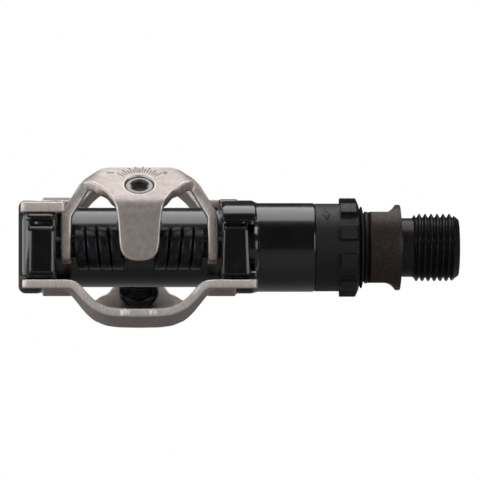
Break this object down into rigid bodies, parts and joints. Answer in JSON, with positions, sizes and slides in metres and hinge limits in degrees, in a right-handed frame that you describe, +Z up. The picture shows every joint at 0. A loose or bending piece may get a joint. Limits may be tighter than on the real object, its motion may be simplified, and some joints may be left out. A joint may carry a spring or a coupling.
{
  "type": "clipless pedal",
  "caption": "Double-sided clipless bicycle pedal: sprung rear claws and fixed front claws on a cast body that spins on a threaded spindle.",
  "frame": {"origin": "on the spindle axis, at the crank-side face of the spindle's flange", "axes": "+X along the spindle towards the crank, +Z up, -Y to the rear of the bicycle when the top side is in use"},
  "size_m": [0.093, 0.067, 0.0332],
  "materials": {
    "body_paint": "gloss black paint over cast aluminium",
    "claw_steel": "warm grey steel sheet, fine blasted grain",
    "black_steel": "black oxide, satin",
    "pin_steel": "dark ground steel",
    "spring_steel": "blue-black tempered wire",
    "bolt_steel": "bright zinc",
    "spindle_steel": "brown-black oxide steel",
    "seal_rubber": "matt black rubber",
    "sleeve_plastic": "matt charcoal moulding",
    "bearing_steel": "ground bearing steel"
  },
  "bodies": {
    "spindle": {"spindle": "spindle_steel", "dust_seal": "seal_rubber", "cone_nut": "bearing_steel", "lock_nut": "bearing_steel"},
    "inboard_balls": {"inboard_balls": "bearing_steel"},
    "outboard_balls": {"outboard_balls": "bearing_steel"},
    "pedal_body": {"pedal_body": "body_paint", "bearing_tube": "bearing_steel", "lock_sleeve": "sleeve_plastic", "top_front_claw": "claw_steel", "bottom_front_claw": "claw_steel", "top_claw_screws": "black_steel", "bottom_claw_screws": "black_steel", "rear_pivot_pin": "pin_steel", "front_pivot_pin": "pin_steel", "top_outer_spring": "spring_steel", "top_inner_spring": "spring_steel", "bottom_outer_spring": "spring_steel", "bottom_inner_spring": "spring_steel"},
    "top_rear_claw": {"top_rear_claw": "claw_steel"},
    "bottom_rear_claw": {"bottom_rear_claw": "claw_steel"},
    "top_tension_bolt": {"top_tension_bolt": "bolt_steel"},
    "bottom_tension_bolt": {"bottom_tension_bolt": "bolt_steel"},
    "top_tension_nut": {"top_tension_nut": "black_steel"},
    "bottom_tension_nut": {"bottom_tension_nut": "black_steel"}
  },
  "joints": [
    {"name": "pedal_spin", "type": "hinge", "parent": "spindle", "child": "pedal_body", "pos_m": [-0.045, 0, 0], "axis": [1, 0, 0], "continuous": true},
    {"name": "inboard_ball_roll", "type": "hinge", "parent": "spindle", "child": "inboard_balls", "pos_m": [-0.0215, 0, 0], "axis": [1, 0, 0], "continuous": true},
    {"name": "outboard_ball_roll", "type": "hinge", "parent": "spindle", "child": "outboard_balls", "pos_m": [-0.066, 0, 0], "axis": [1, 0, 0], "continuous": true},
    {"name": "top_claw_open", "type": "hinge", "parent": "pedal_body", "child": "top_rear_claw", "pos_m": [-0.0552, -0.0235, -0.0003], "axis": [1, 0, 0], "range_deg": [0, 16], "stiffness_Nm_per_rad": 2.5, "springref_deg": -34.38, "deforming": ["top_outer_spring", "top_inner_spring"]},
    {"name": "bottom_claw_open", "type": "hinge", "parent": "pedal_body", "child": "bottom_rear_claw", "pos_m": [-0.0552, 0.0235, 0.0003], "axis": [1, 0, 0], "range_deg": [0, 16], "stiffness_Nm_per_rad": 2.5, "springref_deg": -34.38, "deforming": ["bottom_outer_spring", "bottom_inner_spring"]},
    {"name": "top_bolt_turn", "type": "hinge", "parent": "top_rear_claw", "child": "top_tension_bolt", "pos_m": [-0.0552, -0.02611, 0.0127], "axis": [0, -0.6198, 0.7848], "range_deg": [0, 1080]},
    {"name": "bottom_bolt_turn", "type": "hinge", "parent": "bottom_rear_claw", "child": "bottom_tension_bolt", "pos_m": [-0.0552, 0.02611, -0.0127], "axis": [0, 0.6198, -0.7848], "range_deg": [0, 1080]},
    {"name": "top_nut_travel", "type": "slide", "parent": "top_rear_claw", "child": "top_tension_nut", "axis": [0, 0.6198, -0.7848], "range_m": [0, 0.0024]},
    {"name": "bottom_nut_travel", "type": "slide", "parent": "bottom_rear_claw", "child": "bottom_tension_nut", "axis": [0, -0.6198, 0.7848], "range_m": [0, 0.0024]}
  ],
  "couplings": [
    {"joint": "inboard_ball_roll", "follows": "pedal_spin", "ratio": 0.5779},
    {"joint": "outboard_ball_roll", "follows": "pedal_spin", "ratio": 0.5886},
    {"joint": "top_bolt_turn", "follows": "top_nut_travel", "rad_per_m": 7854},
    {"joint": "bottom_bolt_turn", "follows": "bottom_nut_travel", "rad_per_m": 7854}
  ]
}
